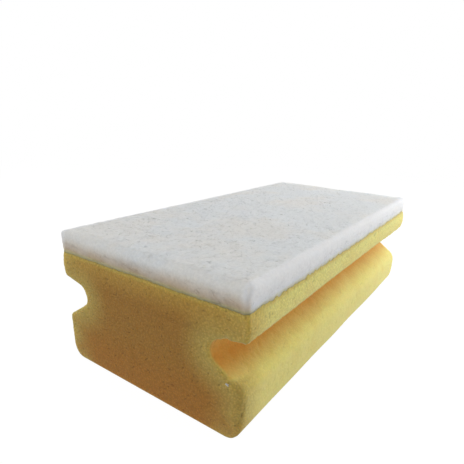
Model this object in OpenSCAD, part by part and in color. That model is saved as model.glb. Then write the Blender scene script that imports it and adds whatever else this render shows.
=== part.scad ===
// Household cleaning sponge: a block of open-cell foam with a finger groove cut along
// each long side, and a fibre scouring pad bonded over its whole top face.
// All sizes are in millimetres. X runs along the length, Y across the width and Z up,
// and the origin is at the middle of the underside.

/* [Sponge] */
// Length of the sponge
sponge_l = 150; // [100:1:200]
// Width of the sponge, over the pad and the lips
sponge_w = 70; // [50:1:100]
// Rounding of the upright corners of the pad and the lips
corner_r = 1; // [0.5:0.1:2]

/* [Scouring pad] */
// Thickness of the pad
pad_t = 7; // [3:0.5:12]
// Rounding of the pad's upper edges
pad_edge_r = 1.2; // [0.4:0.1:2.4]

/* [Foam block] */
// Height of the foam, from the underside to the pad
foam_h = 38; // [34:1:60]
// Rounding of the two long edges of the underside
base_edge_r = 5; // [1:0.5:8]
// Rounding of the lower block's four upright corners
base_corner_r = 2.5; // [1.5:0.5:6]

/* [Finger grooves] */
// Thickness of the lip above each groove, at its outer edge
lip_t = 8.4; // [5:0.1:10]
// Depth of each groove, in from the lip's side
groove_depth = 9.6; // [8:0.1:14]
// Radius of the groove's rounded root
root_r = 3.9; // [2.5:0.1:5]
// Slope of the groove's roof, in degrees, falling towards the root
roof_slope = 12; // [0:1:20]
// Slope of the groove's floor, in degrees, falling towards the outside
floor_slope = 34; // [20:1:45]
// Rounding of the shoulder below each groove
shoulder_r = 4; // [1:0.1:6]

/* [Hidden] */
$fn = 96;

// How far a cutting shape runs past the solid that it cuts
over = 2;
half_w = sponge_w / 2;

// The groove's outline, as depths in from the lip's side and heights above the underside
root_d = groove_depth - root_r;
root_z = roof_z(root_d) - root_r / cos(roof_slope);

// Height of the groove's roof at depth d
function roof_z(d) = foam_h - lip_t - d * tan(roof_slope);

// Height of the groove's floor at depth d, on the line that is tangent to the root
function floor_z(d) = root_z - root_r / cos(floor_slope) + (d - root_d) * tan(floor_slope);

// A prism along X from an outline drawn in the Y-Z plane
module along_x(length) {
    rotate([90, 0, 90])
        linear_extrude(length, center = true)
            children();
}

// A prism along Y from an outline drawn in the X-Z plane
module along_y(length) {
    rotate([90, 0, 0])
        linear_extrude(length, center = true)
            children();
}

// A rectangle with four rounded corners, centred on the origin
module round_rect(l, w, r) {
    square([l - 2 * r, w], center = true);
    square([l, w - 2 * r], center = true);
    for (x = [-1, 1], y = [-1, 1])
        translate([x * (l / 2 - r), y * (w / 2 - r)])
            circle(r);
}

// What a rounding of radius r takes off a corner at the origin, where the solid fills
// the angle from direction a to direction b
module corner_waste(r, a, b) {
    half = (b - a) / 2;
    tangent = r / tan(half);
    reach = r / sin(half);
    difference() {
        polygon([
            [0, 0],
            tangent * [cos(a), sin(a)],
            reach * [cos(a + half), sin(a + half)],
            tangent * [cos(b), sin(b)]
        ]);
        translate(reach * [cos(a + half), sin(a + half)])
            circle(r);
    }
}

// The space of the groove on the +Y side: a wedge from the mouth to a rounded root
module groove_space() {
    mouth_d = -over;
    roof_d = root_d + root_r * sin(roof_slope);
    floor_d = root_d + root_r * sin(floor_slope);
    polygon([
        [half_w - mouth_d, roof_z(mouth_d)],
        [half_w - roof_d, roof_z(roof_d)],
        [half_w - root_d, root_z],
        [half_w - floor_d, floor_z(floor_d)],
        [half_w - mouth_d, floor_z(mouth_d)]
    ]);
    translate([half_w - root_d, root_z])
        circle(root_r);
}

// Cross-section of the foam, the same along its whole length
module foam_section() {
    difference() {
        translate([-half_w, 0])
            square([sponge_w, foam_h]);
        for (side = [0, 1])
            mirror([side, 0]) {
                groove_space();
                translate([half_w, floor_z(0)])
                    corner_waste(shoulder_r, 180 - floor_slope, 270);
                translate([half_w, 0])
                    corner_waste(base_edge_r, 90, 180);
            }
    }
}

// What a rounding of radius r takes off the four upright corners, from height z0 to z1
module upright_corner_waste(r, z0, z1) {
    for (end = [0, 1], side = [0, 1])
        mirror([end, 0, 0])
            mirror([0, side, 0])
                translate([sponge_l / 2, half_w, z0])
                    linear_extrude(z1 - z0)
                        corner_waste(r, 180, 270);
}

// The foam block, with crisp upright corners at the lips and softer ones below the grooves
module foam_body() {
    color("#e8cc5a")
        difference() {
            along_x(sponge_l)
                foam_section();
            upright_corner_waste(corner_r, root_z, foam_h + over);
            upright_corner_waste(base_corner_r, -over, root_z);
        }
}

// Outline of the pad across one direction, with rounded upper edges
module pad_section(w) {
    difference() {
        translate([-w / 2, foam_h])
            square([w, pad_t]);
        for (side = [0, 1])
            mirror([side, 0])
                translate([w / 2, foam_h + pad_t])
                    corner_waste(pad_edge_r, 180, 270);
    }
}

// The scouring pad, bonded flat on the foam with its edges flush with the lips
module scouring_pad() {
    color("#eef1f0")
        intersection() {
            along_x(sponge_l)
                pad_section(sponge_w);
            along_y(sponge_w)
                pad_section(sponge_l);
            translate([0, 0, foam_h])
                linear_extrude(pad_t)
                    round_rect(sponge_l, sponge_w, corner_r);
        }
}

foam_body();
scouring_pad();
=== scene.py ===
"""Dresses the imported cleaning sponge: porous foam, fibre scouring pad, floor, lights and camera."""
import math

import bpy
import numpy as np
from mathutils import Matrix, Vector, noise


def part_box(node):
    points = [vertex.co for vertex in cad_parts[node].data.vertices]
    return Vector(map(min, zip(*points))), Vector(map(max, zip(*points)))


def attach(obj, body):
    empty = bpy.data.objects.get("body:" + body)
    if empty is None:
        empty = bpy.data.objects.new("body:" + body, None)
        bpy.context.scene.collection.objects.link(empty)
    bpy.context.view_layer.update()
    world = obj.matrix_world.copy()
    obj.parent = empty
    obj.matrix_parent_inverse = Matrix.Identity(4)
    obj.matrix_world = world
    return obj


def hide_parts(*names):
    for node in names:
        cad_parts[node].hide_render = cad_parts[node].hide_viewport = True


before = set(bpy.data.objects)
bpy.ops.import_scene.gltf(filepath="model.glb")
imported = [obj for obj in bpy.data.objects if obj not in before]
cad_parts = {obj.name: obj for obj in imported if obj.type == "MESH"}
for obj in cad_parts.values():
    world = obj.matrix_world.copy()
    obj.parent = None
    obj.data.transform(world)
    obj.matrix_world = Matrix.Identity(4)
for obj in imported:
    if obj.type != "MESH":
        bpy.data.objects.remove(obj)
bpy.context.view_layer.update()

MM = 0.001

# Sizes that follow from the frame
_, foam_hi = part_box("foam_body")
_, pad_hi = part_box("scouring_pad")
HALF_L = foam_hi.x
HALF_W = foam_hi.y
FOAM_H = foam_hi.z
PAD_TOP = pad_hi.z

# Finger grooves, cut freehand: the right lip is thinner at the near end
LIP_T = 8.5 * MM
NEAR_LIP_T = 7.7 * MM
LIP_R = 0.5 * MM
SHOULDER_Z = 15.6 * MM
RIGHT_SHOULDER_R = 5.3 * MM
LEFT_SHOULDER_R = 1.2 * MM
ROOT_R = 3.9 * MM
ROOF_SLOPE = math.radians(12)
FLOOR_SLOPE = math.radians(34)

# How far the lips' upper edge and the pad's lower edge stand out from the nominal side
BOND_SPREAD = 0.3 * MM

# Height up to which the lower block's sides and ends belly
BELLY_H = 17 * MM

# Depths of the foam's open pores, from the shallowest to the deepest
PORE_DEPTH = np.array([0.05, 0.22]) * MM

# Rounding of the pad's four upper edges, and of its upright corners
PAD_NEAR_R = 3.0 * MM
PAD_FAR_R = 1.6 * MM
PAD_RIGHT_R = 1.6 * MM
PAD_LEFT_R = 1.4 * MM
PAD_CORNER_R = 1.2 * MM

# How far the pad's upper edge stands out from the nominal side, on its two long sides
RIGHT_FLARE = 0.4 * MM
LEFT_FLARE = 0.95 * MM

# Radii of the pad's loose fibres, from the thinnest to the thickest
FIBRE_R = np.array([0.025, 0.045]) * MM

# Edges that turn by more than this are shaded sharp, as at the bond
SHARP_ANGLE = math.radians(62)

# Mesh spacing along and across the foam and the pad, and points down their sides
FOAM_STEP = 0.69 * MM
PAD_STEP = 0.76 * MM
FOAM_ROWS = 78
PAD_ROWS = 14


def unit(v):
    """A vector of length 1 in the direction of v."""
    return v / np.linalg.norm(v)


def smooth_step(value, low, high):
    """0 below low and 1 above high, with a smooth change between them."""
    t = np.clip((value - low) / (high - low), 0, 1)
    return t * t * (3 - 2 * t)


def smooth_fall(value, low, high):
    """1 below low and 0 above high, with a smooth change between them."""
    return smooth_step(-value, -high, -low)


def rounded_path(corners, count):
    """Evenly spaced points along a path of (depth, height, radius) corners."""
    arc_points = 24
    path = [np.array(corners[0][:2])]
    for before, here, after in zip(corners, corners[1:], corners[2:]):
        corner = np.array(here[:2])
        to_before = unit(np.array(before[:2]) - corner)
        to_after = unit(np.array(after[:2]) - corner)
        half = math.acos(np.dot(to_before, to_after)) / 2
        centre = corner + unit(to_before + to_after) * here[2] / math.sin(half)
        first = corner + to_before * here[2] / math.tan(half) - centre
        last = corner + to_after * here[2] / math.tan(half) - centre
        turn = math.pi - 2 * half
        for share in np.linspace(0, 1, arc_points):
            mixed = math.sin((1 - share) * turn) * first + math.sin(share * turn) * last
            path.append(centre + mixed / math.sin(turn))
    path.append(np.array(corners[-1][:2]))
    path = np.array(path)
    along = np.concatenate([[0], np.cumsum(np.linalg.norm(np.diff(path, axis=0), axis=1))])
    wanted = np.linspace(0, along[-1], count)
    return np.stack([np.interp(wanted, along, path[:, axis]) for axis in (0, 1)], -1)


def path_normals(path):
    """Unit normals out of the solid, for a path that runs from its top to its underside."""
    along = np.gradient(path, axis=0)
    along /= np.linalg.norm(along, axis=1)[:, None]
    return np.stack([along[:, 1], -along[:, 0]], -1)


def groove_path(lip_t, shoulder_r, base_r):
    """The foam's side, from the pad down round the groove to the flat of the underside."""
    lip_z = FOAM_H - lip_t
    apex_d = (lip_z - SHOULDER_Z) / (math.tan(ROOF_SLOPE) + math.tan(FLOOR_SLOPE))
    apex_z = lip_z - apex_d * math.tan(ROOF_SLOPE)
    corners = [
        (0, FOAM_H, 0),
        (0, lip_z, LIP_R),
        (apex_d, apex_z, ROOT_R),
        (0, SHOULDER_Z, shoulder_r),
        (0, 0, base_r),
        (base_r, 0, 0),
    ]
    return rounded_path(corners, FOAM_ROWS)


def pad_path(edge_r, flare):
    """The pad's side, which leans out at the top, from its top face down to the foam."""
    corners = [
        (edge_r * 1.1 - flare, PAD_TOP, 0),
        (-flare, PAD_TOP, edge_r),
        (-BOND_SPREAD, FOAM_H, 0),
    ]
    return rounded_path(corners, PAD_ROWS)


def nearest(points, targets):
    """For each point, the index of the closest target and the distance to it."""
    chunk = 4096
    index = np.empty(len(points), int)
    distance = np.empty(len(points))
    for start in range(0, len(points), chunk):
        part = slice(start, start + chunk)
        gap = np.linalg.norm(points[part, None] - targets[None], axis=2)
        index[part] = gap.argmin(1)
        distance[part] = gap.min(1)
    return index, distance


def cross_section(right, left, free_row, columns):
    """Outline of a block's cross-section and its normals, without the face that is bonded."""
    span = np.linspace(0, 1, columns)[1:-1, None]
    flat = right[free_row] * (1 - span) + left[free_row] * span
    normals = [
        path_normals(right),
        path_normals(left * [-1, 1]) * [-1, 1],
        np.tile([0.0, 1.0 if free_row == 0 else -1.0], (len(span), 1)),
    ]
    return np.concatenate([right, left, flat]), np.concatenate(normals)


def shell_grid(stations, columns, rows):
    """Numbers the points on the outside of a box-shaped grid, and gives -1 inside it."""
    index = -np.ones((stations, columns, rows), int)
    shell = np.zeros(index.shape, bool)
    for axis in range(3):
        for at in (0, -1):
            cut = [slice(None)] * 3
            cut[axis] = at
            shell[tuple(cut)] = True
    index[shell] = np.arange(shell.sum())
    return index


def shell_faces(index):
    """Four-cornered faces over all six sides of the grid, which face outward."""
    quads = []
    for axis in range(3):
        for at in (0, -1):
            side = np.take(index, at, axis=axis)
            corners = [side[:-1, :-1], side[1:, :-1], side[1:, 1:], side[:-1, 1:]]
            quad = np.stack([corner.ravel() for corner in corners], -1)
            flip = (at == 0) == (axis == 1)
            quads.append(quad[:, ::-1] if flip else quad)
    return np.concatenate(quads).tolist()


def round_end(x, yz, half, outline, normals, outline_r):
    """Rounds one end: points near its edges move onto circles tangent to both faces.

    half lists the points on that end's half of the block, and outline_r is the rounding
    at each point of the outline.
    """
    closest, _ = nearest(yz[half], outline)
    gap = np.abs(((outline[closest] - yz[half]) * normals[closest]).sum(1))
    radius = outline_r[closest]
    from_end = HALF_L - np.abs(x[half])
    turning = (from_end < radius) & (gap < radius)
    at = half[turning]
    r = radius[turning]
    offset = np.stack([from_end[turning] - r, gap[turning] - r], -1)
    offset *= (r / np.linalg.norm(offset, axis=1))[:, None]
    x[at] = np.sign(x[at]) * (HALF_L - (r + offset[:, 0]))
    yz[at] -= normals[closest[turning]] * (r + offset[:, 1] - gap[turning])[:, None]


def closed_block(name, near_sides, far_sides, step, end_radius, free_row):
    """A closed block along X on an even grid, with rounded ends.

    Each end has a pair of side paths, right and left, and the sections between them change
    smoothly. free_row is the row, 0 for the top or -1 for the underside, whose flat face is
    free and so has rounded end edges too. end_radius gives the rounding along the outline.
    """
    rows = len(near_sides[0])
    stations = round(2 * HALF_L / step) + 1
    columns = round(2 * HALF_W / step) + 1
    index = shell_grid(stations, columns, rows)
    i, j, k = np.nonzero(index >= 0)

    x = -HALF_L + 2 * HALF_L * i / (stations - 1)
    blend_reach = 0.9 * HALF_L
    far_share = smooth_step(x, -blend_reach, blend_reach)[:, None]
    share = (j / (columns - 1))[:, None]
    sections = []
    for right, left in (near_sides, far_sides):
        right_yz = np.stack([right[:, 0] - HALF_W, right[:, 1]], -1)
        left_yz = np.stack([HALF_W - left[:, 0], left[:, 1]], -1)
        sections.append((right_yz, left_yz))
    near_yz, far_yz = [right[k] * (1 - share) + left[k] * share for right, left in sections]
    yz = near_yz * (1 - far_share) + far_yz * far_share

    for is_near, (right, left) in zip((True, False), sections):
        half = np.nonzero((x < 0) == is_near)[0]
        outline, normals = cross_section(right, left, free_row, columns)
        round_end(x, yz, half, outline, normals, end_radius(is_near, outline))
    return mesh_object(name, np.column_stack([x, yz]), shell_faces(index))


def mesh_object(name, points, faces):
    """A smooth-shaded mesh object from an array of points and a list of faces."""
    mesh = bpy.data.meshes.new(name)
    mesh.from_pydata(points.tolist(), [], faces)
    mesh.validate()
    mesh.polygons.foreach_set("use_smooth", np.ones(len(mesh.polygons), bool))
    obj = bpy.data.objects.new(name, mesh)
    bpy.context.scene.collection.objects.link(obj)
    return obj


def points_of(obj):
    """The mesh's vertex positions as an array."""
    co = np.empty(len(obj.data.vertices) * 3)
    obj.data.vertices.foreach_get("co", co)
    return co.reshape(-1, 3)


def normals_of(obj):
    """The mesh's vertex normals as an array."""
    normal = np.empty(len(obj.data.vertices) * 3, np.float32)
    obj.data.vertex_normals.foreach_get("vector", normal)
    return normal.reshape(-1, 3)


def set_points(obj, points):
    """Writes new vertex positions into the mesh."""
    obj.data.vertices.foreach_set("co", points.ravel())
    obj.data.update()


def store(obj, name, values):
    """Keeps one number for each vertex, for the material to read."""
    attribute = obj.data.attributes.new(name, "FLOAT", "POINT")
    attribute.data.foreach_set("value", np.asarray(values, np.float32))


def field(points, size, seed):
    """Smooth noise of about the given feature size, from -1 to 1, at each point."""
    shift = Vector((seed * 3.7, seed * 1.3, seed * 2.1))
    return np.array([noise.noise(Vector(p) / size + shift) for p in points])


def bond_wave(points):
    """Height of the uneven line where the pad and the foam meet, above the foam's nominal top."""
    flat = points * [1, 1, 0]
    on_side = smooth_step(HALF_L - np.abs(points[:, 0]), 0.5 * MM, 3 * MM)
    teeth = (0.2 + 0.5 * on_side) * field(flat, 1.2 * MM, 5)
    drift = 0.25 * field(flat, 8 * MM, 6)
    return (teeth + drift) * MM


def near_foam_radius(y, z):
    """Rounding of the foam's near end: crisp, and softer on the lower block's right corner."""
    underside_r = 0.35 * MM
    more_upright = 0.7 * MM
    more_lower_right = np.where(y > 0, 0, 1.9 * MM)
    upright = smooth_step(z, 0.5 * MM, 3 * MM)
    lower = smooth_step(z, 3 * MM, 7 * MM) * smooth_fall(z, 15 * MM, 20 * MM)
    return underside_r + more_upright * upright + more_lower_right * lower


def far_foam_radius(y, z):
    """Rounding of the foam's far end: crisp at the lips, soft on the lower block's corners."""
    lip_r = 0.8 * MM
    underside_r = 1.0 * MM
    corner_r = np.where(y > 0, 3.0, 4.2) * MM
    corner = smooth_step(np.abs(y), HALF_W - 16 * MM, HALF_W - 3 * MM)
    underneath = smooth_fall(z, 1 * MM, 5 * MM) * (1 - corner)
    block_r = corner_r + underneath * (underside_r - corner_r)
    below_lips = smooth_fall(z, 22 * MM, 29 * MM)
    return lip_r + below_lips * (block_r - lip_r)


def foam_end_radius(near_end, yz):
    """Rounding of one end of the foam, at each point of its outline."""
    radius = near_foam_radius if near_end else far_foam_radius
    return radius(yz[:, 0], yz[:, 1])


def bulge(path, block_bulge):
    """Pushes a side path out over the lip and, by the given size, over the lower block."""
    lip_bulge = 0.75 * MM
    height = path[:, 1]
    outer = smooth_fall(path[:, 0], 1 * MM, 4 * MM)
    down_lip = np.clip((FOAM_H - height) / LIP_T, 0, 1)
    over_lip = (BOND_SPREAD + lip_bulge * np.sin(math.pi * down_lip)) * (down_lip < 1)
    over_block = block_bulge * np.sin(math.pi * np.clip(height / BELLY_H, 0, 1))
    out = path.copy()
    out[:, 0] -= outer * (over_lip + over_block)
    return out


def belly_ends(points):
    """Lets both end faces belly out between the underside and the grooves."""
    near_belly = -0.25 * MM
    far_belly = 1.3 * MM
    at_end = smooth_step(np.abs(points[:, 0]), HALF_L - 5 * MM, HALF_L - 1 * MM)
    arch = np.sin(math.pi * np.clip(points[:, 2] / BELLY_H, 0, 1)) * at_end
    points[:, 0] += arch * np.where(points[:, 0] > 0, far_belly, near_belly)


def cut_nick(points):
    """Cuts a small nick in the roof's edge at the near end of the right groove."""
    nick_x = -HALF_L + 0.2 * MM
    nick_y = -HALF_W + 5.8 * MM
    nick_r = 0.9 * MM
    nick_depth = 1.0 * MM
    height = points[:, 2]
    at_roof = smooth_step(height, 26.5 * MM, 27.5 * MM) * smooth_fall(height, 30 * MM, 31 * MM)
    away = np.hypot(points[:, 0] - nick_x, points[:, 1] - nick_y)
    points[:, 2] += at_roof * nick_depth * np.exp(-((away / nick_r) ** 2))


def foam_relief(points, rng):
    """How far the foam's surface stands out at each point, and the depth of its pores."""
    pore_share = 0.09
    wave = 0.22 * MM * field(points, 24 * MM, 1)
    lump = 0.06 * MM * field(points, 3.2 * MM, 2)
    grain = 0.03 * MM * rng.standard_normal(len(points))
    is_pore = rng.random(len(points)) < pore_share
    pore = np.where(is_pore, rng.uniform(*PORE_DEPTH, len(points)), 0)
    fine = smooth_step(points[:, 2], 4 * MM, 9 * MM)
    return wave + fine * (lump + grain - pore), pore


def tear_lips(points, depth):
    """Tears the lower edge of each lip into small teeth."""
    tooth = 0.5 * MM
    off_edge = np.abs(points[:, 2] - (FOAM_H - LIP_T))
    torn = smooth_fall(off_edge, 0.2 * MM, 1.2 * MM) * smooth_fall(depth, 0.5 * MM, 1.5 * MM)
    points[:, 2] += torn * tooth * field(points * [1, 1, 0], 1.1 * MM, 7)


def store_places(obj, points, depth, outline):
    """Stores what the material reads, mostly for its painted shade: depth in the groove, and place on
    the end faces.

    The end faces' painted shade runs on along the sides over side_ramp, and into the grooves
    over groove_ramp.
    """
    side_ramp = np.where(points[:, 0] < 0, 13.0, 2.0) * MM
    groove_ramp = 1.0 * MM
    ramp = side_ramp + (groove_ramp - side_ramp) * smooth_step(depth, 1.5 * MM, 4 * MM)
    on_end = smooth_step(np.abs(points[:, 0]), HALF_L - ramp, HALF_L - 0.2 * MM)
    in_groove = smooth_step(points[:, 2], 11 * MM, 15 * MM) * (1 - on_end)
    ends = np.nonzero(on_end > 0)[0]
    inner = np.zeros(len(points))
    inner[ends] = on_end[ends] * nearest(points[ends, 1:], outline)[1]
    store(obj, "groove", in_groove * depth / MM)
    store(obj, "inner", inner / MM)
    store(obj, "end", on_end)


def build_foam():
    """The foam block, with soft edges, a slight hand-cut waviness and open pores."""
    near_right = groove_path(NEAR_LIP_T, RIGHT_SHOULDER_R, base_r=4.8 * MM)
    near_right = bulge(near_right, block_bulge=0)
    far_right = groove_path(LIP_T, RIGHT_SHOULDER_R, base_r=4.6 * MM)
    far_right = bulge(far_right, block_bulge=0.8 * MM)
    left = groove_path(LIP_T, LEFT_SHOULDER_R, base_r=5.2 * MM)
    left = bulge(left, block_bulge=-0.4 * MM)
    near_sides = (near_right, left)
    far_sides = (far_right, left)
    obj = closed_block("foam_block", near_sides, far_sides, FOAM_STEP, foam_end_radius, -1)
    points = points_of(obj)
    belly_ends(points)
    cut_nick(points)
    set_points(obj, points)
    normal = normals_of(obj)
    depth = HALF_W - np.abs(points[:, 1])

    # The face under the pad stays on the bond, and the underside stays on the floor
    shift, pore = foam_relief(points, np.random.default_rng(11))
    shift *= smooth_step(points[:, 2], 0.1 * MM, 3 * MM)
    shift *= smooth_step(FOAM_H - points[:, 2], 0.2 * MM, 1.6 * MM)
    points += normal * shift[:, None]
    tear_lips(points, depth)
    near_bond = smooth_step(points[:, 2], FOAM_H - 1.5 * MM, FOAM_H - 0.1 * MM)
    points[:, 2] += near_bond * bond_wave(points)
    points[:, 2] = np.maximum(points[:, 2], 0)
    set_points(obj, points)
    obj.data.set_sharp_from_angle(angle=SHARP_ANGLE)

    outline = np.concatenate([near_right - [HALF_W, 0], left * [-1, 1] + [HALF_W, 0]])
    store(obj, "bond", near_bond)
    store_places(obj, points, depth, outline)
    store(obj, "pore", pore / MM)
    return obj


def pad_end_radius(near_end, yz):
    """Rounding of the pad's ends: soft along the upper edge, except at its left corner."""
    edge_r = PAD_NEAR_R if near_end else PAD_FAR_R
    off_left = smooth_fall(yz[:, 0], HALF_W - 14 * MM, HALF_W - 1 * MM)
    on_top = smooth_step(yz[:, 1], PAD_TOP - 2.5 * MM, PAD_TOP - 0.5 * MM)
    return PAD_CORNER_R + off_left * on_top * (edge_r - PAD_CORNER_R)


def pad_swell(points):
    """How far the pad's surface stands out from its nominal shape."""
    wave = 0.2 * field(points, 21 * MM, 3)
    lump = 0.09 * field(points, 2.6 * MM, 4)
    return (wave + lump) * MM


def build_pad():
    """The scouring pad: a slab of fibre with fuzzy, rounded edges and an uneven top."""
    right = pad_path(PAD_RIGHT_R, RIGHT_FLARE)
    left = pad_path(PAD_LEFT_R, LEFT_FLARE)
    sides = (right, left)
    obj = closed_block("pad_slab", sides, sides, PAD_STEP, pad_end_radius, 0)
    points = points_of(obj)
    normal = normals_of(obj)
    rng = np.random.default_rng(12)
    shift = pad_swell(points) + 0.035 * MM * rng.standard_normal(len(points))
    shift *= smooth_step(points[:, 2] - FOAM_H, 0.2 * MM, 1.6 * MM)
    points += normal * shift[:, None]
    near_bond = 1 - smooth_step(points[:, 2], FOAM_H + 0.1 * MM, FOAM_H + 1.5 * MM)
    store(obj, "bond", near_bond)
    points[:, 2] += near_bond * (bond_wave(points) + 0.01 * MM)
    set_points(obj, points)
    obj.data.set_sharp_from_angle(angle=SHARP_ANGLE)
    return obj


def tubes(name, routes, radii):
    """Thin three-sided tubes along routes of points, all in one mesh."""
    # A direction that the routes don't follow, from which each ring's first corner is set
    aside = [0.31, 0.22, 0.92]
    sides = 3
    points = []
    faces = []
    base = 0
    for route, radius in zip(routes, radii):
        along = np.gradient(route, axis=0)
        along /= np.linalg.norm(along, axis=1)[:, None]
        across = np.cross(along, aside)
        across /= np.linalg.norm(across, axis=1)[:, None]
        upward = np.cross(across, along)
        count = len(route)
        taper = np.sin(np.linspace(0.25, math.pi - 0.25, count))[:, None] ** 0.4
        for side in range(sides):
            turn = 2 * math.pi * side / sides
            ring = math.cos(turn) * across + math.sin(turn) * upward
            points.append(route + ring * radius * taper)
        for side in range(sides):
            here = base + side * count
            there = base + (side + 1) % sides * count
            for step in range(count - 1):
                faces.append((here + step, here + step + 1, there + step + 1, there + step))
        ends = [base + side * count for side in range(sides)]
        faces.append(tuple(reversed(ends)))
        faces.append(tuple(end + count - 1 for end in ends))
        base += sides * count
    return mesh_object(name, np.concatenate(points), faces)


def curl(rng, length, count, bend):
    """A flat curly route from the origin, as in-plane points."""
    turn = rng.uniform(0, 2 * math.pi)
    rate = rng.normal(0, bend)
    drift = rng.normal(0, bend)
    share = np.linspace(0, 1, count)
    angle = turn + rate * share + drift * np.sin(3 * share)
    steps = np.stack([np.cos(angle), np.sin(angle)], -1) * length / count
    return np.cumsum(steps, axis=0)


def pad_height(x, y):
    """Height of the pad's top over a point, with the rounded edges and the unevenness."""
    edges = [
        (x + HALF_L, PAD_NEAR_R),
        (HALF_L - x, PAD_FAR_R),
        (y + HALF_W, PAD_RIGHT_R),
        (HALF_W - y, PAD_LEFT_R),
    ]
    drop = np.zeros(len(x))
    for gap, r in edges:
        t = np.clip(1 - gap / r, 0, 1)
        drop = np.maximum(drop, r * (1 - np.sqrt(1 - t * t)))
    top = np.column_stack([x, y, np.full(len(x), PAD_TOP)])
    return PAD_TOP - drop + pad_swell(top)


def top_fibres():
    """Short curly fibres of the nonwoven that loop out of the pad's top face."""
    rng = np.random.default_rng(21)
    count = 5200
    margin = 0.7 * MM
    sink = 0.03 * MM
    reach = np.array([HALF_L, HALF_W]) - margin
    routes = []
    radii = []
    while len(routes) < count:
        flat = curl(rng, rng.uniform(1.5, 4.5) * MM, count=6, bend=2.2)
        flat += [rng.uniform(-HALF_L, HALF_L), rng.uniform(-HALF_W, HALF_W)]
        if (np.abs(flat) > reach).any():
            continue
        lift = np.sin(np.linspace(0, math.pi, len(flat))) * rng.uniform(0.01, 0.07) * MM
        height = pad_height(flat[:, 0], flat[:, 1]) + lift - sink
        routes.append(np.column_stack([flat, height]))
        radii.append(rng.uniform(*FIBRE_R))
    return tubes("pad_top_fibres", routes, radii)


def side_fibres():
    """Cut fibres that show on the pad's four sides, mostly lying along them."""
    rng = np.random.default_rng(22)
    tries = 1800
    margin = 2.0 * MM
    lowest = FOAM_H + 0.3 * MM
    highest = PAD_TOP - 2.8 * MM
    left_lean = 0.6 * MM
    right_lean = 0.1 * MM
    routes = []
    radii = []
    for _ in range(tries):
        around = rng.uniform(0, 4 * (HALF_L + HALF_W))
        flat = curl(rng, rng.uniform(1.5, 5) * MM, count=6, bend=1.2)
        rise = rng.uniform(FOAM_H + 0.5 * MM, PAD_TOP - 3 * MM) + flat[:, 1] * 0.5
        if rise.min() < lowest or rise.max() > highest:
            continue
        out = rng.uniform(-0.02, 0.14) * MM * np.sin(np.linspace(0, math.pi, len(flat)))
        on_long_side = around < 4 * HALF_L
        half = HALF_L if on_long_side else HALF_W
        around -= 0 if on_long_side else 4 * HALF_L
        side = 1 if around < 2 * half else -1
        along = np.clip(around % (2 * half) - half + flat[:, 0], margin - half, half - margin)
        if on_long_side:
            full_lean = left_lean if side > 0 else right_lean
            lean = full_lean * (rise - FOAM_H) / (PAD_TOP - FOAM_H)
            route = np.column_stack([along, side * (HALF_W + BOND_SPREAD + lean + out), rise])
        else:
            route = np.column_stack([side * (HALF_L + out), along, rise])
        routes.append(route)
        radii.append(rng.uniform(*FIBRE_R))
    return tubes("pad_side_fibres", routes, radii)


def dust_fleck(foam):
    """The tiny white speck on the foam's near end, below the mouth of the right groove."""
    spot = np.array([-HALF_W + 4.5 * MM, 17.1 * MM])
    off_surface = 0.08 * MM
    spread = 0.12 * MM
    strands = 7
    strand_r = 0.11 * MM
    points = points_of(foam)
    near_half = points[points[:, 0] < 0]
    surface = near_half[nearest(spot[None], near_half[:, 1:])[0][0]]
    centre = np.array([surface[0] - off_surface, *spot])
    rng = np.random.default_rng(31)
    routes = []
    for _ in range(strands):
        flat = curl(rng, 0.8 * MM, count=5, bend=2.5)
        offset = rng.uniform(-spread, spread, 3)
        strand = np.column_stack([flat[:, 0] * 0.2, -flat[:, 0], flat[:, 1]])
        routes.append(centre + offset + strand)
    return tubes("dust_fleck", routes, [strand_r] * len(routes))


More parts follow.
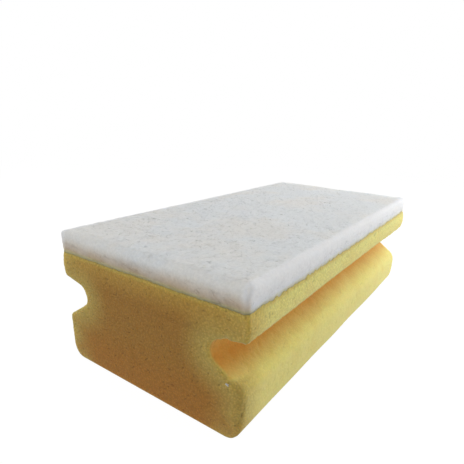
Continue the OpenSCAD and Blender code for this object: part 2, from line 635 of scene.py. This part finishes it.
class Nodes:
    """Short calls for building a material's node tree."""

    def __init__(self, name):
        self.material = bpy.data.materials.new(name)
        self.material.use_nodes = True
        self.tree = self.material.node_tree
        self.tree.nodes.clear()

    def add(self, kind, **inputs):
        node = self.tree.nodes.new(kind)
        for key, value in inputs.items():
            setattr(node, key, value)
        return node

    def link(self, source, target):
        self.tree.links.new(source, target)

    def put(self, target, value):
        """Links a socket, or sets a plain value."""
        if isinstance(value, bpy.types.NodeSocket):
            self.link(value, target)
        else:
            target.default_value = value

    def place(self):
        """Positions in metres in the row frame."""
        return self.add("ShaderNodeTexCoord").outputs["Object"]

    def axes(self):
        """X, Y and Z in metres in the row frame."""
        node = self.add("ShaderNodeSeparateXYZ")
        self.link(self.place(), node.inputs[0])
        return node.outputs

    def noise(self, size, detail=3.0, roughness=0.55):
        node = self.add("ShaderNodeTexNoise")
        self.link(self.place(), node.inputs["Vector"])
        node.inputs["Scale"].default_value = 1 / size
        node.inputs["Detail"].default_value = detail
        node.inputs["Roughness"].default_value = roughness
        return node.outputs["Fac"]

    def cells(self, size, feature="F1"):
        node = self.add("ShaderNodeTexVoronoi", feature=feature)
        self.link(self.place(), node.inputs["Vector"])
        node.inputs["Scale"].default_value = 1 / size
        return node.outputs["Distance"]

    def attribute(self, name):
        node = self.add("ShaderNodeAttribute", attribute_name=name)
        return node.outputs["Fac"]

    def math(self, operation, a, b=0.0):
        node = self.add("ShaderNodeMath", operation=operation)
        self.put(node.inputs[0], a)
        self.put(node.inputs[1], b)
        return node.outputs[0]

    def remap(self, value, low, high, to_low=0.0, to_high=1.0):
        node = self.add("ShaderNodeMapRange", interpolation_type="SMOOTHSTEP")
        self.put(node.inputs["Value"], value)
        node.inputs["From Min"].default_value = low
        node.inputs["From Max"].default_value = high
        node.inputs["To Min"].default_value = to_low
        node.inputs["To Max"].default_value = to_high
        return node.outputs["Result"]

    def mix(self, share, a, b, blend="MIX"):
        node = self.add("ShaderNodeMix", data_type="RGBA", blend_type=blend)
        self.put(node.inputs["Factor"], share)
        self.put(node.inputs["A"], a)
        self.put(node.inputs["B"], b)
        return node.outputs["Result"]

    def bump(self, height, strength, distance, normal=None):
        node = self.add("ShaderNodeBump")
        self.put(node.inputs["Strength"], strength)
        node.inputs["Distance"].default_value = distance
        self.link(height, node.inputs["Height"])
        if normal is not None:
            self.link(normal, node.inputs["Normal"])
        return node.outputs["Normal"]

    def finish(self, colour, normal, roughness, **values):
        """Ends the tree in one Principled shader."""
        shader = self.add("ShaderNodeBsdfPrincipled")
        self.put(shader.inputs["Base Color"], colour)
        self.put(shader.inputs["Roughness"], roughness)
        self.link(normal, shader.inputs["Normal"])
        for key, value in values.items():
            shader.inputs[key.replace("_", " ")].default_value = value
        output = self.add("ShaderNodeOutputMaterial")
        self.link(shader.outputs["BSDF"], output.inputs["Surface"])
        return self.material


def linear(value):
    """The linear brightness, from 0 to 1, of an sRGB value between 0 and 255."""
    share = value / 255
    if share <= 0.04045:
        return share / 12.92
    return ((share + 0.055) / 1.055) ** 2.4


def rgb(red, green, blue):
    """A linear colour with full alpha from sRGB values between 0 and 255."""
    return (linear(red), linear(green), linear(blue), 1.0)


def foam_material():
    """Matt open-cell foam: lemon outside, with painted shade in amber in the grooves and in brown on
    the end faces.
    """
    n = Nodes("foam_open_cell")
    lemon = rgb(242, 228, 134)
    amber = rgb(220, 155, 60)
    olive = rgb(212, 190, 106)
    brown = rgb(181, 133, 62)
    russet = rgb(187, 129, 55)
    honey = rgb(236, 200, 100)
    cell = 0.66 * MM
    height = n.axes()["Z"]
    patch = n.remap(n.noise(9 * MM, 2.0), 0.3, 0.7, -0.08, 0.08)
    # Painted shade: lemon turns amber with depth in the grooves, where the groove walls shade the
    # foam
    share = n.math("ADD", n.remap(n.attribute("groove"), 0.6, 9.2, 0.0, 0.93), patch)
    colour = n.mix(share, lemon, amber)

    # On the end faces, painted shade: the olive rim, painted light that comes through from the lit
    # sides, turns brown towards the middle and russet low down
    deep = n.mix(n.remap(height, 4 * MM, 20 * MM, 1.0, 0.0), brown, russet)
    inner = n.math("ADD", n.attribute("inner"), n.remap(height, 2 * MM, 9 * MM, 3.0, 0.0))
    face = n.mix(n.remap(inner, -3.0, 12.0), olive, deep)
    # Painted light: the end faces turn towards honey near their top
    face = n.mix(n.remap(height, FOAM_H - 9 * MM, FOAM_H, 0.0, 0.42), face, honey)
    colour = n.mix(n.attribute("end"), colour, face)
    # Painted light: a honey band along the foam's top edge, just under the pad
    colour = n.mix(n.math("MULTIPLY", n.attribute("bond"), 0.8), colour, honey)

    # The cells show most on the end faces and least in the grooves and on the lower block
    clear = n.math("MAXIMUM", n.remap(height, 22 * MM, 30 * MM, 0.35, 0.8), n.attribute("end"))
    speck = n.remap(n.cells(cell), 0.15, 0.7, 1.05, 0.86)
    fine = n.remap(n.noise(0.5 * MM, 2.0), 0.3, 0.7, 0.94, 1.06)
    # Painted shade: the pores are painted darker the deeper they are
    pit = n.remap(n.attribute("pore"), *(PORE_DEPTH / MM), 1.0, 0.62)
    tone = n.math("MULTIPLY", n.math("MULTIPLY", speck, fine), pit)
    colour = n.mix(clear, colour, n.mix(1.0, colour, tone, "MULTIPLY"))
    walls = n.bump(n.cells(cell, "SMOOTH_F1"), n.math("MULTIPLY", clear, 0.6), 0.3 * MM)
    normal = n.bump(n.noise(0.35 * MM, 2.0), n.math("MULTIPLY", clear, 0.35), 0.12 * MM, walls)
    return n.finish(
        colour,
        normal,
        0.92,
        Subsurface_Weight=0.7,
        Subsurface_Radius=(1.0, 0.75, 0.45),
        Subsurface_Scale=5.0 * MM,
        Specular_IOR_Level=0.1,
        Sheen_Weight=0.1,
        Sheen_Roughness=0.6,
    )


def pad_colour(n):
    """White with cool and warm mottling, with painted light paler along the long sides and yellow at
    the bond, and painted shade, warm from the foam, low on the two end faces.
    """
    cool = rgb(239, 243, 244)
    warm = rgb(243, 242, 237)
    painted_end_shade = rgb(206, 170, 118)
    edge = rgb(236, 226, 150)
    pale = rgb(250, 252, 253)
    axes = n.axes()
    mottle = n.remap(n.noise(34 * MM, 4.0, 0.6), 0.38, 0.62)
    colour = n.mix(mottle, cool, warm)
    # Painted light: paler along the two long sides, where the fuzzy edges catch the light
    across = n.math("ABSOLUTE", axes["Y"])
    flank = n.remap(across, HALF_W - 2.5 * MM, HALF_W - 0.5 * MM)
    colour = n.mix(flank, colour, pale)
    along = n.math("ABSOLUTE", axes["X"])
    # Painted shade, warmed by the foam's yellow, low on the two end faces
    end = n.remap(along, HALF_L - 2.5 * MM, HALF_L - 0.5 * MM, 0.0, 0.9)
    low = n.remap(axes["Z"], FOAM_H - 1 * MM, FOAM_H + 6.0 * MM, 1.0, 0.0)
    soft = n.remap(n.noise(6 * MM), 0.3, 0.7, 0.85, 1.1)
    share = n.math("MULTIPLY", n.math("MULTIPLY", low, end), soft)
    colour = n.mix(share, colour, painted_end_shade)
    # Painted reflection: yellow low on the pad where it meets the foam, for the foam's light thrown
    # back onto it
    return n.mix(n.math("MULTIPLY", n.attribute("bond"), 0.75), colour, edge)


def pad_material():
    """Felted nonwoven: matt, translucent and finely uneven."""
    n = Nodes("pad_nonwoven")
    speck = n.remap(n.noise(0.8 * MM, 3.0, 0.7), 0.3, 0.7, 0.94, 1.03)
    colour = n.mix(1.0, pad_colour(n), speck, "MULTIPLY")
    web = n.bump(n.noise(0.9 * MM, 3.0, 0.7), 0.35, 0.15 * MM)
    normal = n.bump(n.noise(0.35 * MM, 2.0), 0.4, 0.1 * MM, web)
    return n.finish(
        colour,
        normal,
        0.95,
        Subsurface_Weight=0.85,
        Subsurface_Radius=(1.0, 0.95, 0.88),
        Subsurface_Scale=5 * MM,
        Specular_IOR_Level=0.1,
        Sheen_Weight=0.2,
        Sheen_Roughness=0.5,
    )


def fibre_material():
    """Single white fibres, in the pad's colours and a little glossier."""
    n = Nodes("pad_fibre")
    tone = n.remap(n.noise(3 * MM, 2.0), 0.3, 0.7, 0.96, 1.04)
    colour = n.mix(1.0, pad_colour(n), tone, "MULTIPLY")
    normal = n.bump(n.noise(0.2 * MM), 0.1, 0.02 * MM)
    return n.finish(
        colour,
        normal,
        0.8,
        Subsurface_Weight=0.9,
        Subsurface_Radius=(1.0, 0.95, 0.9),
        Subsurface_Scale=1.5 * MM,
        Specular_IOR_Level=0.1,
    )


def lint_material():
    """Plain white lint."""
    n = Nodes("white_lint")
    tone = n.remap(n.noise(0.3 * MM, 2.0), 0.3, 0.7, 0.94, 1.0)
    colour = n.mix(1.0, rgb(255, 255, 250), tone, "MULTIPLY")
    normal = n.bump(n.noise(0.2 * MM), 0.1, 0.02 * MM)
    return n.finish(colour, normal, 0.8, Specular_IOR_Level=0.3)


def floor_material():
    """A plain pale floor that fades into the white background away from the sponge."""
    n = Nodes("pale_floor")
    fade_from = 0.12
    fade_to = 0.6
    distance = n.add("ShaderNodeVectorMath", operation="LENGTH")
    n.link(n.place(), distance.inputs[0])
    fade = n.remap(distance.outputs["Value"], fade_from, fade_to)
    lit = n.add("ShaderNodeBsdfDiffuse")
    lit.inputs["Color"].default_value = (0.1, 0.1, 0.1, 1.0)
    glow = n.add("ShaderNodeEmission")
    glow.inputs["Color"].default_value = (0.96, 0.96, 0.96, 1.0)
    near = n.add("ShaderNodeAddShader")
    n.link(lit.outputs[0], near.inputs[0])
    n.link(glow.outputs[0], near.inputs[1])
    away = n.add("ShaderNodeEmission")
    away.inputs["Color"].default_value = (1.0, 1.0, 1.0, 1.0)
    blend = n.add("ShaderNodeMixShader")
    n.link(fade, blend.inputs[0])
    n.link(near.outputs[0], blend.inputs[1])
    n.link(away.outputs[0], blend.inputs[2])
    output = n.add("ShaderNodeOutputMaterial")
    n.link(blend.outputs[0], output.inputs["Surface"])
    return n.material


def paint(obj, material):
    """Gives the whole piece one material."""
    obj.data.materials.clear()
    obj.data.materials.append(material)


def glow_material():
    """An evenly glowing white."""
    n = Nodes("white_glow")
    glow = n.add("ShaderNodeEmission")
    output = n.add("ShaderNodeOutputMaterial")
    n.link(glow.outputs[0], output.inputs["Surface"])
    return n.material


def seen_by_camera_only(obj):
    """Keeps a stage piece from throwing light or shade on the sponge."""
    obj.visible_diffuse = False
    obj.visible_glossy = False
    obj.visible_transmission = False
    obj.visible_shadow = False


def add_stage():
    """A pale floor and a white backdrop all round, which both only the camera sees."""
    reach = 4.0
    floor_z = -0.05 * MM
    corners = np.array([(-reach, -reach), (reach, -reach), (reach, reach), (-reach, reach)])
    low = np.column_stack([corners, np.full(4, floor_z)])
    high = np.column_stack([corners, np.full(4, reach)])
    floor = mesh_object("floor", low, [[0, 1, 2, 3]])
    paint(floor, floor_material())
    walls = [[0, 1, 5, 4], [1, 2, 6, 5], [2, 3, 7, 6], [3, 0, 4, 7], [4, 5, 6, 7]]
    backdrop = mesh_object("backdrop", np.concatenate([low, high]), walls)
    paint(backdrop, glow_material())
    for piece in (floor, backdrop):
        seen_by_camera_only(piece)


# Brightness of the even light from all round, as from a white light tent
AMBIENT = 0.4


def add_world():
    """Even light from all round. The camera sees the white backdrop in its place."""
    world = bpy.data.worlds.new("white_surround")
    world.use_nodes = True
    background = world.node_tree.nodes["Background"]
    background.inputs["Color"].default_value = (1.0, 1.0, 1.0, 1.0)
    background.inputs["Strength"].default_value = AMBIENT
    bpy.context.scene.world = world


# Soft white lights: name, place and aim in metres, size in metres, power in watts
LIGHTS = [
    ("overhead", (0.05, 0.05, 0.75), (0.0, 0.0, 0.03), 0.9, 0.58),
    ("far_right", (0.31, -0.22, 0.08), (0.06, -0.03, 0.02), 0.16, 0.85),
    ("far_end", (0.40, -0.06, 0.22), (0.03, 0.0, 0.04), 0.3, 0.48),
    ("near_left", (-0.45, 0.40, 0.30), (-0.07, 0.0, 0.02), 0.5, 1.0),
]


def add_lights():
    """Area lights that each face their aim."""
    for name, place, aim, size, power in LIGHTS:
        data = bpy.data.lights.new(name, "AREA")
        data.shape = "DISK"
        data.size = size
        data.energy = power
        lamp = bpy.data.objects.new(name, data)
        lamp.location = place
        lamp.rotation_mode = "QUATERNION"
        lamp.rotation_quaternion = (Vector(aim) - Vector(place)).to_track_quat("-Z", "Y")
        bpy.context.scene.collection.objects.link(lamp)


# Camera, fitted to the outline of the sponge in the photograph, which is IMAGE_PX square
IMAGE_PX = 464
CAMERA_AT = Vector((-143.9, -76.2, 79.9)) * MM
CAMERA_RIGHT = Vector((0.580, -0.814, 0.036))
CAMERA_BACK = Vector((-0.765, -0.529, 0.368))
FOCAL_PX = 395.0
PRINCIPAL_PX = (225.06, 273.69)


def add_camera():
    """The photograph's camera: its place, direction, focal length and framing."""
    back = CAMERA_BACK.normalized()
    right = (CAMERA_RIGHT - back * CAMERA_RIGHT.dot(back)).normalized()
    up = back.cross(right)
    turn = Matrix((right, up, back)).transposed()
    data = bpy.data.cameras.new("photo_camera")
    data.sensor_width = 36.0
    data.lens = FOCAL_PX / IMAGE_PX * data.sensor_width
    data.shift_x = 0.5 - PRINCIPAL_PX[0] / IMAGE_PX
    data.shift_y = PRINCIPAL_PX[1] / IMAGE_PX - 0.5
    data.clip_start = 0.005
    data.clip_end = 50.0
    camera = bpy.data.objects.new("photo_camera", data)
    camera.matrix_world = Matrix.Translation(CAMERA_AT) @ turn.to_4x4()
    bpy.context.scene.collection.objects.link(camera)
    bpy.context.scene.camera = camera


def build_object():
    """The foam, the pad, its loose fibres and the fleck, each on the row's one body."""
    foam = build_foam()
    paint(foam, foam_material())
    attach(foam, "root")
    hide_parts("foam_body")

    pad = build_pad()
    paint(pad, pad_material())
    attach(pad, "root")
    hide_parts("scouring_pad")

    strands = fibre_material()
    lint = lint_material()
    loose = [(top_fibres(), strands), (side_fibres(), strands), (dust_fleck(foam), lint)]
    for fibres, material in loose:
        paint(fibres, material)
        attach(fibres, "root")


add_camera()
add_world()
add_stage()
add_lights()
build_object()
bpy.context.scene.view_settings.view_transform = "Standard"
